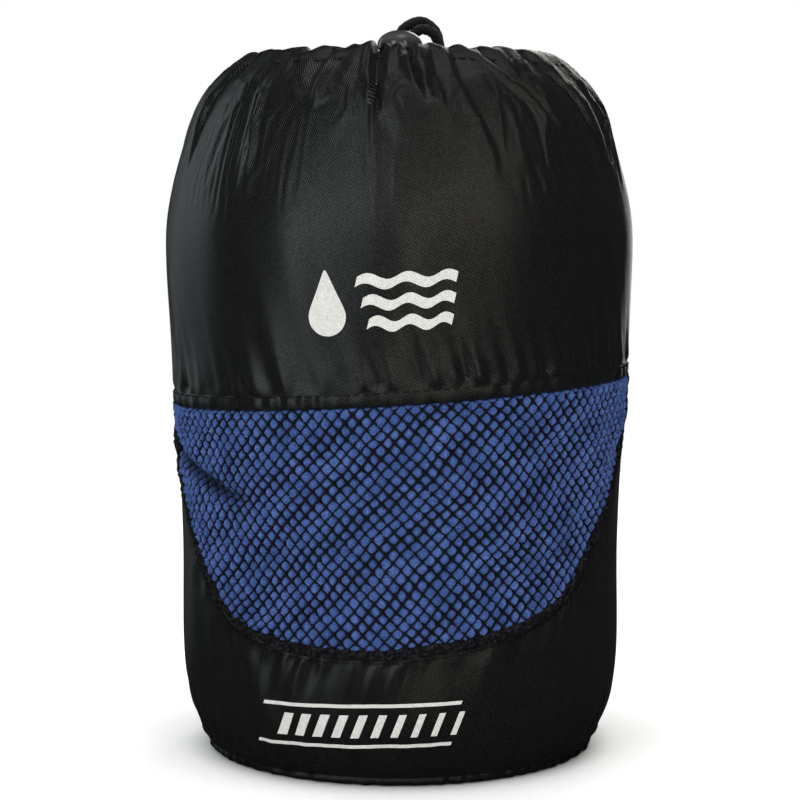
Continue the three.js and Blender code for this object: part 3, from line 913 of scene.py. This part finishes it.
def add_base_disc(rings=60, columns=360):
    angle = all_round(columns)
    radius = np.linspace(0.3, DISC_RADIUS, rings)[:, None] * np.ones_like(angle)
    drawn_in = smooth(40, 53, radius) * (1 - smooth(52, DISC_RADIUS, radius))
    height = 0.35 + 0.25 * ripple(angle, 44, 73, 0.5) * drawn_in
    points = place(angle, radius, height)[::-1]
    uv = (radius[::-1] * sine(angle), radius[::-1] * cosine(angle))
    piece = add_grid("base_cloth", points, NYLON, uv, closed_columns=True)
    return finish_piece(piece, "sack", "nylon", "base_disc")


def back_radius(angle, height):
    """The cloth's radius anywhere on the panels."""
    above = height > window_top(angle) + HEM_WIDTH
    relief = np.where(above, upper_relief(angle, height), lower_relief(angle, height))
    return outline(height) + relief


def add_back_seam(rows=420):
    """The lapped closing seam, standing a little proud of the cloth."""
    height = np.linspace(RIM_TOP, PANEL_TOP, rows)[:, None]
    across = np.linspace(-2.6, 2.6, 13)[None, :]
    wander = 0.25 * np.sin(height / 7) + 0.15 * np.sin(height / 2.9)
    angle = 180 + np.degrees((across + wander) / outline(height))
    lap = 0.65 * (1 - np.abs(across / 2.6) ** 4)
    lap = lap + 0.16 * np.sin(height / 1.3 + across) * (np.abs(across) < 2.4)
    radius = back_radius(angle, height) + lap - 0.1
    radius = radius + 0.7 * hump(height, window_top(180) + HEM_WIDTH / 2, 2.4)
    piece = add_grid("back_lap", place(angle, radius, height), NYLON, cloth_uv(angle, height))
    return finish_piece(piece, "sack", "nylon", "back_seam")


CHANNEL_SECTION = [
    (50.0, 196.0), (48.9, 197.5), (47.2, 199.0), (45.4, 200.1), (43.8, 200.5), (42.5, 200.1), (41.8, 198.9),
    (41.5, 197.0), (41.6, 194.9), (42.4, 193.0), (43.8, 191.9), (45.4, 192.1), (46.8, 193.4), (48.6, 194.8),
]
# Bumps and dips of the mouth's crest: angle, width in degrees, and how high.
CREST = [
    (-10.8, 2.4, 1.1), (-7.6, 0.9, -2.4), (-5.2, 2.0, 0.7), (-0.6, 1.5, 0.5), (2.6, 1.4, -2.6),
    (6.4, 2.4, 0.7), (-19.5, 1.8, -0.7), (24.7, 2.0, -0.7), (17.5, 1.6, -0.5), (-33, 2.4, -0.8), (11, 2, 0.3),
]
SLIT_ANGLE = -10
SLIT_HALF = 8.5


def closed_curve(corners, count):
    """Evenly spread points of a smooth closed curve through corners."""
    corners = np.asarray(corners, float)
    fine = np.linspace(0, len(corners), 40 * len(corners), endpoint=False)
    i = fine.astype(int)
    t = (fine - i)[:, None]
    a, b, c, d = (corners[(i + k) % len(corners)] for k in (-1, 0, 1, 2))
    curve = 0.5 * (2 * b + (c - a) * t + (2 * a - 5 * b + 4 * c - d) * t ** 2
                   + (3 * b - a - 3 * c + d) * t ** 3)
    closed = np.vstack([curve, curve[:1]])
    along = distance_along(closed)
    return read_along(closed, along, np.linspace(0, along[-1], count, endpoint=False))


def add_channel(columns=720, rows=56):
    """The gathered hem round the mouth, open inwards at the slit where the drawcord comes out."""
    angle = all_round(columns)
    section = closed_curve(CHANNEL_SECTION, rows)
    radius, height = section[:, :1], section[:, 1:]
    outer = smooth(43.5, 47.5, radius)
    top = smooth(197.5, 200.5, height)
    fold = crease_relief(angle, 197.0 + 0 * radius) * (0.35 + 0.65 * outer) * smooth(40, 46, radius)
    ruffle = 0.3 * gathers(angle) * (0.35 + 0.65 * top)
    inner = 0.8 * ripple(angle, 40, 81, 0.4) * (1 - outer)
    lift = sum(size * hump(angle, middle, width) for middle, width, size in CREST)
    lift = lift + 0.3 * ripple(angle, 26, 82, 0.5)
    radius = radius + (fold + ruffle) * outer - inner
    height = height + lift * top + 0.25 * inner
    uv = cloth_uv(angle, np.linspace(196, 224, rows)[:, None])    # heights along the section's own length
    points = place(angle, radius, height)
    piece = add_grid("mouth_channel", points, NYLON, uv, closed_rows=True, closed_columns=True)
    open_slit(piece, section, columns)
    return finish_piece(piece, "sack", "nylon", "drawcord_channel")


def open_slit(piece, section, columns):
    """Takes away the faces of the channel's inner wall where the drawcord comes out."""
    rows_open = [i for i, (radius, height) in enumerate(section) if radius < 44 and 194.2 < height < 198.8]
    angles = all_round(columns)[0]
    columns_open = np.flatnonzero(np.abs(angles - SLIT_ANGLE) < SLIT_HALF)
    doomed = {row * columns + column for row in rows_open for column in columns_open}
    kept = [tuple(face.vertices) for face in piece.data.polygons if face.index not in doomed]
    change_faces(piece, kept)


# ---- Stitching -----------------------------------------------------------------------------------

def stitch_part(start, end, out, radius):
    """One stitch: a short thread that dips into the cloth at both ends. out points off the cloth."""
    share = np.array([0, 0.14, 0.5, 0.86, 1])[:, None]
    rise = np.array([-0.35, 0.16, 0.24, 0.16, -0.35])[:, None] * MM
    return tube_part(start + share * (end - start) + rise * out, radius, 6)


def add_stitches(name, path, node, pitch=2.7, length=2.05, radius=0.2):
    """A row of real stitches along path, an array of points in metres on the cloth."""
    along = distance_along(path) / MM
    parts = []
    for start in np.arange(0.2, along[-1] - length, pitch):
        a, b = read_along(path, along, start), read_along(path, along, start + length)
        out = (a + b) * np.array([1, 1, 0])
        parts.append(stitch_part(a, b, out / np.linalg.norm(out), radius * MM))
    piece = joined(name, parts, THREAD)
    return finish_piece(piece, "sack", "thread", node)


def add_all_stitches():
    angle = np.linspace(-179.5, 179.5, 2400)
    hem_height = window_top(angle) + HEM_WIDTH - 0.55
    hem_radius = outline(hem_height) + 0.4 + hem_wave(angle)
    add_stitches("hem_stitches", place(angle, hem_radius, hem_height), "window_top_stitching")
    base_height = STITCH_BASE + 0 * angle
    base_radius = outline(base_height) + lower_relief(angle, base_height) + 0.1
    add_stitches("base_stitches", place(angle, base_radius, base_height), "base_stitching")
    mouth_height = PANEL_TOP - 0.2 + 0.2 * ripple(angle, 30, 91)
    mouth_radius = 49.9 + crease_relief(angle, 197.0 + 0 * angle) + 0.2 * gathers(angle)
    add_stitches("mouth_stitches", place(angle, mouth_radius, mouth_height), "channel_stitching")
    around = WINDOW_MIDDLE + np.linspace(-SEAM_HALF_ANGLE, SEAM_HALF_ANGLE, 1600)
    arc_height = window_arc(around) - band_height(around, 1.1)
    arc_radius = outline(arc_height) + lower_relief(around, arc_height) + 0.12
    add_stitches("arc_stitches", place(around, arc_radius, arc_height), "window_arc_stitching")


# ---- Towel -----------------------------------------------------------------------------------------

ROLL_PITCH = 9.3
LAYER = 3.05
LAYER_THICKNESS = 2.75
ROLL_INNER = 3.4
ROLL_OUTER = 59.6
CLOTH_GAP = 3.4           # from the outline of the sack in to the roll's outside
ROLL_TOP = 181.4
ROLL_BOTTOM = 2.0


def folded_section():
    """Outline of the towel folded in thirds: (across, height) pairs down one side and back up the other."""
    bend = LAYER / 2
    levels = np.linspace(ROLL_BOTTOM + 3, ROLL_TOP - 2.6, 13)
    arc = np.radians(np.linspace(0, 180, 7)[1:-1])
    middle = [(LAYER, z) for z in levels]
    middle += [(bend + bend * math.cos(a), levels[-1] + bend * math.sin(a)) for a in arc]
    middle += [(0, z) for z in levels[::-1]]
    middle += [(-bend + bend * math.cos(a), levels[0] - bend * math.sin(a)) for a in arc]
    middle += [(-LAYER, z) for z in levels]
    middle = np.array(middle)
    ahead = tangents(middle)
    out = np.stack([ahead[:, 1], -ahead[:, 0]], 1) * LAYER_THICKNESS / 2
    ends = (middle[0] - ahead[0] * 1.2, middle[-1] + ahead[-1] * 1.2)
    right = np.vstack([ends[0] + out[0] * 0.5, middle + out, ends[1] + out[-1] * 0.5])
    left = np.vstack([ends[0] - out[0] * 0.5, middle - out, ends[1] - out[-1] * 0.5])
    return np.vstack([right, left[::-1]])


def add_towel(per_turn=72):
    """The whole folded towel, swept along its spiral."""
    section = folded_section()
    turns = (ROLL_OUTER - ROLL_INNER) / ROLL_PITCH
    count = int(turns * per_turn)
    wound = np.linspace(0, 1, count)[:, None]
    angle = 180 - 360 * turns * (1 - wound)
    middle = ROLL_INNER + (ROLL_OUTER - ROLL_INNER) * wound
    across, height = section[None, :, 0], section[None, :, 1]
    wave = 0.35 * ripple(angle, 9, 101, 0.6)
    height = height + (wave + 0.25 * np.sin(across)) * smooth(150, 180, height)
    fit = (outline(height) - CLOTH_GAP) / (ROLL_OUTER + LAYER + LAYER_THICKNESS / 2)
    radius = (middle + across) * fit
    radius = radius + 0.15 * ripple(angle * 1.7 + height, 30, 102, 0.6)
    round_ = (angle + 180) % 360 - 180
    radius = radius + window_relief(round_, height) * smooth(42, 56, middle)
    piece = add_grid("rolled_towel", place(angle, radius, height)[::-1], TERRY, closed_columns=True)
    add_caps(piece, len(section), count)
    finish_piece(piece, "sack", "terry", "towel_roll")
    return piece


def add_caps(piece, section_count, count):
    """Closes the two ends of the swept towel with quads between its two faces."""
    faces = [tuple(face.vertices) for face in piece.data.polygons]
    last = (count - 1) * section_count
    for i in range(section_count // 2 - 1):
        j = section_count - 1 - i
        faces.append((i, i + 1, j - 1, j))
        faces.append((last + j, last + j - 1, last + i + 1, last + i))
    change_faces(piece, faces)


# ---- Drawcord ----------------------------------------------------------------------------------------

CORD_RADIUS = 1.5
BRAID_PITCH = 6.0 * MM
BRAID_STRANDS = 6         # each way round
STRAND_OFFSET = 1.8
CHANNEL_RADIUS = 45.6
CHANNEL_HEIGHT = 196.3
SLIT_WIDTH = 16
HALF_SLIT = math.degrees(SLIT_WIDTH / 2 / CHANNEL_RADIUS)
# The middle of the two strands, and the direction from it to the right-hand one, as the CAD has them.
PAIR_ROUTE = [
    ((0, -27.5, 193), (1, 0, 0)), ((0, -20, 193), (1, 0, 0)), ((0, -12, 193), (1, 0, 0)),
    ((0, -4.2, 193), (1, 0, 0)), ((0.1, 0.1, 194.8), (1, 0, 0)), ((0.2, 2, 199), (1, 0, 0)),
    ((0.7, 2.3, 204), (0.98, -0.1, -0.15)), ((2.5, 2.4, 208), (0.75, -0.35, -0.56)),
    ((6.2, 2.5, 209.9), (0, -0.72, -0.7)), ((9.9, 2.6, 208), (-0.24, -0.95, -0.2)),
    ((11.6, 2.9, 203.6), (0, -1, 0)), ((12.2, 3.4, 198), (0.1, -0.99, 0)),
    ((13.4, 4.8, 192.4), (0.3, -0.95, 0)),
    ((16, 7.6, 187.4), (0.5, -0.86, 0)), ((20.4, 11.6, 184.4), (0.66, -0.75, 0)),
    ((25.2, 17.6, 184.1), (0.85, -0.52, 0)), ((25.4, 25.4, 184.1), (0.98, 0.2, 0)),
    ((18.6, 31.6, 184.1), (0.5, 0.87, 0)), ((8, 34.4, 184.1), (0.18, 0.98, 0)),
    ((-6, 34.2, 184.1), (-0.18, 0.98, 0)), ((-19.8, 28.3, 184.1), (-0.6, 0.8, 0)),
    ((-29, 16.8, 184.1), (-0.87, 0.5, 0)),
    ((-32.4, 4.5, 184.1), (-1, 0.1, 0)), ((-30.8, -5, 184.2), (-0.95, -0.3, 0)),
]
LEFT_START = [
    (-12, -43.7, 196.2), (-9.1, -41.9, 196.1), (-8.1, -38.4, 195.6), (-6.4, -34.6, 194.6), (-3.7, -31, 193.4),
]
RIGHT_START = [
    (-3.7, -44.5, 196.2), (-4.9, -41.6, 196.1), (-4.6, -38, 195.6), (-2.6, -34.8, 194.6), (0, -31.2, 193.4),
]


def smooth_path(corners, step):
    """Points a step apart, in metres, on the centripetal Catmull-Rom curve through corners in millimetres."""
    corners = np.asarray(corners, float)
    corners = np.vstack([2 * corners[0] - corners[1], corners, 2 * corners[-1] - corners[-2]])
    knots = np.concatenate([[0], np.cumsum(np.linalg.norm(np.diff(corners, axis=0), axis=1) ** 0.5)])
    curve = []
    for i in range(1, len(corners) - 2):
        t = np.linspace(knots[i], knots[i + 1], 40, endpoint=False)[:, None]
        k, p = knots[i - 1:i + 3], corners[i - 1:i + 3]
        for spans in ([(0, 1), (1, 2), (2, 3)], [(0, 2), (1, 3)], [(1, 2)]):
            p = [(k[b] - t) / (k[b] - k[a]) * p[j] + (t - k[a]) / (k[b] - k[a]) * p[j + 1]
                 for j, (a, b) in enumerate(spans)]
        curve.append(p[0])
    curve = np.vstack(curve + [corners[-2:-1]])
    along = distance_along(curve)
    return read_along(curve, along, np.linspace(0, along[-1], max(2, round(along[-1] / step)))) * MM


def braid_relief(along, turn):
    """Plump strands that wind both ways round the cord and cross over each other."""
    slant = 2 * math.pi * along / BRAID_PITCH * BRAID_STRANDS / 2
    a = BRAID_STRANDS * turn + slant
    b = BRAID_STRANDS * turn - slant
    return 0.2 * MM * (np.abs(np.cos(a / 2)) ** 0.7 + np.abs(np.cos(b / 2)) ** 0.7 - 1.5)


def braided(name, points):
    return add_tube(name, points, CORD_RADIUS * MM, 24, CORD, braid_relief)


def add_tail(name, side, beginning, node):
    first = place(SLIT_ANGLE + side * (HALF_SLIT - 1.2), CHANNEL_RADIUS, CHANNEL_HEIGHT) / MM
    beside = [np.array(middle) + side * STRAND_OFFSET * np.array(across) for middle, across in PAIR_ROUTE]
    path = smooth_path([first, *beginning, *beside], 0.3)
    piece = braided(name, path)
    finish_piece(piece, "sack", "cord", node)
    length = float(np.linalg.norm(np.diff(path, axis=0), axis=1).sum())
    return piece, path, length


def add_knot():
    """Both tails in one overhand knot, with two short sealed ends."""
    centre = np.array([-30, -11, 186.0])
    turn = np.linspace(0, 2 * math.pi, 120)
    x = 2.3 * (np.sin(turn) + 1.1 * np.sin(2 * turn))
    y = 2.5 * (np.cos(turn) - 1.1 * np.cos(2 * turn))
    loop = np.stack([x, y, -1.7 * np.sin(3 * turn)], 1)
    parts = [tube_part((centre + loop + np.array(shift)) * MM, 1.35 * MM, 16)
             for shift in ((0, 0, 0), (0.9, -0.9, 0.2))]
    for route in (((-29.5, -12.5, 185.4), (-26.6, -18.6, 184.3), (-23.2, -24.1, 184.1)),
                  ((-29.5, -12.5, 185.4), (-30.2, -19.2, 184.3), (-28.4, -26.2, 184.1))):
        vertices, faces = tube_part(smooth_path(route, 0.3), CORD_RADIUS * MM, 16)
        parts.append((vertices, [*faces, range(len(vertices) - 16, len(vertices))]))
    piece = joined("tail_knot", parts, CORD)
    return finish_piece(piece, "sack", "cord", "cord_knot")


def add_drawcord():
    sweep = np.linspace(SLIT_ANGLE + HALF_SLIT, SLIT_ANGLE + 360 - HALF_SLIT, 700)
    inside = braided("channel_cord", place(sweep, CHANNEL_RADIUS, CHANNEL_HEIGHT))
    finish_piece(inside, "sack", "cord", "drawcord")
    knot = add_knot()
    left, left_path, left_length = add_tail("cord_tail_left", -1, LEFT_START, "drawcord_tail_left")
    right, right_path, right_length = add_tail("cord_tail_right", 1, RIGHT_START, "drawcord_tail_right")
    tuple(left_path[0])
    tuple(right_path[0])


# ---- Cord lock -------------------------------------------------------------------------------------

LOCK_Y = -20
# Radii and heights of the lock, as the CAD has them.
BARREL_RADIUS, BARREL_BORE = 6.6, 4.8
BARREL_BOTTOM, BARREL_FLOOR, BARREL_TOP = 182.8, 184, 197.2
STEM_RADIUS, STEM_BOTTOM = 4.5, 189.4
BUTTON_RADIUS, BUTTON_FOOT = 6.4, 201
DOME_FOOT, DOME_RISE = 202.3, 4.2
HOLE_WIDTH = 7.2


def turned_points(profile, segments):
    radius, height = np.array(profile, float).T
    angle = all_round(segments)
    points = place(angle, radius[:, None], height[:, None])
    points[..., 1] += LOCK_Y * MM
    return points


def rounded(corners, steps=5):
    """A profile whose inner corners are eased: each corner is (radius, height, easing)."""
    points = []
    for i, (radius, height, ease) in enumerate(corners):
        here = np.array([radius, height], float)
        if ease == 0 or i in (0, len(corners) - 1):
            points.append(here)
            continue
        before = np.array(corners[i - 1][:2], float) - here
        after = np.array(corners[i + 1][:2], float) - here
        start = here + before / np.linalg.norm(before) * ease
        end = here + after / np.linalg.norm(after) * ease
        for t in np.linspace(0, 1, steps):
            points.append((1 - t) ** 2 * start + 2 * t * (1 - t) * here + t * t * end)
    return points


def add_turned(name, profile, segments, material):
    """A solid of turning whose profile starts and ends on the axis."""
    points = turned_points(profile[1:-1], segments)
    rows = len(points)
    vertices = points.reshape(-1, 3)
    bottom, top = len(vertices), len(vertices) + 1
    tips = [(0, LOCK_Y * MM, tip[1] * MM) for tip in (profile[0], profile[-1])]
    faces = list(grid_faces(rows, segments, closed_columns=True))
    for j in range(segments):
        beside = (j + 1) % segments
        faces.append((bottom, beside, j))
        faces.append((top, (rows - 1) * segments + j, (rows - 1) * segments + beside))
    return add_mesh(name, np.vstack([vertices, tips]), faces, material)


def slot_cutter(width, low, high, corner):
    """A bar along Y with a rounded rectangular section."""
    x, z, middle = width / 2 - corner, (high - low) / 2 - corner, (low + high) / 2
    turn = np.radians(np.arange(0, 360, 15))
    ring = [(math.copysign(x, math.cos(a + 0.01)) + corner * math.cos(a),
             middle + math.copysign(z, math.sin(a + 0.01)) + corner * math.sin(a)) for a in turn]
    count = len(ring)
    vertices = [(px * MM, (LOCK_Y + y) * MM, pz * MM) for y in (-12, 12) for px, pz in ring]
    faces = [(i, (i + 1) % count, count + (i + 1) % count, count + i) for i in range(count)]
    faces += [tuple(range(count))[::-1], tuple(range(count, 2 * count))]
    return add_mesh("cutter", vertices, faces, PLASTIC, shade_smooth=False)


def cut(piece, cutter):
    modifier = piece.modifiers.new("cut", "BOOLEAN")
    modifier.operation = "DIFFERENCE"
    modifier.solver = "EXACT"
    modifier.object = cutter
    bpy.context.view_layer.update()
    graph = bpy.context.evaluated_depsgraph_get()
    mesh = bpy.data.meshes.new_from_object(piece.evaluated_get(graph))
    piece.modifiers.clear()
    piece.data = mesh
    bpy.data.objects.remove(cutter)
    mesh.polygons.foreach_set("use_smooth", [True] * len(mesh.polygons))
    mesh.set_sharp_from_angle(angle=math.radians(35))


def add_lock():
    barrel = add_turned("lock_barrel", rounded([
        (0, BARREL_BOTTOM, 0), (4.4, BARREL_BOTTOM, 1.2), (BARREL_RADIUS, 184.9, 1.6),
        (BARREL_RADIUS, BARREL_TOP, 0.6), (BARREL_BORE, BARREL_TOP, 0.3),
        (BARREL_BORE, BARREL_FLOOR, 0.2), (0, BARREL_FLOOR, 0),
    ]), 72, PLASTIC)
    cut(barrel, slot_cutter(HOLE_WIDTH, 190.6, 194.8, 1.5))
    finish_piece(barrel, "cord_lock", "lock_plastic", "cord_lock_body")
    dome = [(BUTTON_RADIUS * math.cos(a), DOME_FOOT + DOME_RISE * math.sin(a), 0)
            for a in np.radians(np.arange(6, 90, 6))]
    button = add_turned("lock_button", rounded([
        (0, STEM_BOTTOM, 0), (STEM_RADIUS, STEM_BOTTOM, 0.4), (STEM_RADIUS, BUTTON_FOOT, 0.3),
        (BUTTON_RADIUS, BUTTON_FOOT, 0.5), (BUTTON_RADIUS, DOME_FOOT, 0), *dome, (0, 206.5, 0),
    ]), 72, PLASTIC)
    cut(button, slot_cutter(HOLE_WIDTH, 191.2, 198.3, 1.2))
    finish_piece(button, "lock_button", "lock_plastic", "cord_lock_button")


def add_spring():
    turn = np.linspace(0, 3 * 360, 400)
    height = np.linspace(184.54, 188.86, 400)
    points = place(turn, 3.6, height)
    points[:, 1] += LOCK_Y * MM
    spring = add_tube("lock_spring", points, 0.27 * MM, 10, STEEL)
    finish_piece(spring, "cord_lock", "spring_steel", "cord_lock_spring")
    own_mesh(spring)


# ---- Prints ------------------------------------------------------------------------------------------

INK_STAND = 0.16


def printed(name, patches, middle, turn, relief):
    """White marks: each patch is a grid of (x, y) in millimetres, laid on the cloth round middle."""
    angle0, height0 = middle
    a = math.radians(turn)
    parts, uvs = [], []
    for patch in patches:
        x, y = patch[..., 0], patch[..., 1]
        along = x * math.cos(a) - y * math.sin(a)
        height = height0 + x * math.sin(a) + y * math.cos(a)
        angle = angle0 + np.degrees(along / outline(height))
        radius = outline(height) + relief(angle, height) + INK_STAND
        rows, columns = x.shape
        parts.append((place(angle, radius, height).reshape(-1, 3), grid_faces(rows, columns)))
        uvs.append(np.stack(cloth_uv(angle, height), -1).reshape(-1, 2) * MM)
    return finish_piece(joined(name, parts, INK, np.concatenate(uvs)), "sack", "nylon")


def bar(x, y, width, height, lean=0.0, wave=0.0, waves=0.0):
    """A slanted bar, or a wavy stripe, as a fine grid; its lower left corner is at x, y."""
    columns, rows = max(3, int(width / 0.5)), max(3, int(height / 0.5))
    u, v = np.meshgrid(np.linspace(0, 1, columns), np.linspace(0, 1, rows))
    swell = wave * np.sin(2 * math.pi * waves * u)
    return np.stack([x + width * u + lean * height * v, y + height * v + swell], -1)


def drop(x, y, radius, tall):
    """A filled water drop with its point up."""
    turn, out = np.meshgrid(np.linspace(0, 2 * math.pi, 60), np.linspace(0.02, 1, 14))
    pinch = np.where(np.cos(turn) > 0, np.cos(turn) ** 3, 0)
    width = radius * np.sin(turn) * (1 - 0.55 * pinch)
    rise = radius * np.cos(turn) + (tall - 2 * radius) * pinch
    return np.stack([x + out * width, y + radius + out * rise], -1)[:, ::-1]


def add_prints():
    waves = [bar(-7.5 + 1.3 * i, 4.2 - 5.6 * i, 27 - 2.2 * i, 2.7, 0.3, 0.9, 2.5) for i in range(3)]
    upper = [drop(-15.5, -8.4, 5.2, 17.5), *waves]
    printed("upper_mark", upper, (-3.6, 131.5), 3, upper_relief)
    bars = [bar(-26 + 5.4 * i, -3.2, 3.0 - 0.16 * i, 6.4, 0.45) for i in range(10)]
    lines = [bar(-30, 5.2, 56, 1.0, 0.45), bar(-33.6, -6.2, 56, 1.0, 0.45)]
    printed("lower_mark", bars + lines, (-8.5, 17.8), 2, lower_relief)


# ---- Scene ---------------------------------------------------------------------------------------

add_camera()
add_drawcord()
add_studio()
add_floor()
add_upper_panel()
add_lower_panel()
add_hem()
add_pile()
add_net()
add_window_tape()
add_base_rim()
add_base_disc()
add_back_seam()
add_channel()
add_all_stitches()
add_towel()
add_lock()
add_spring()
add_prints()
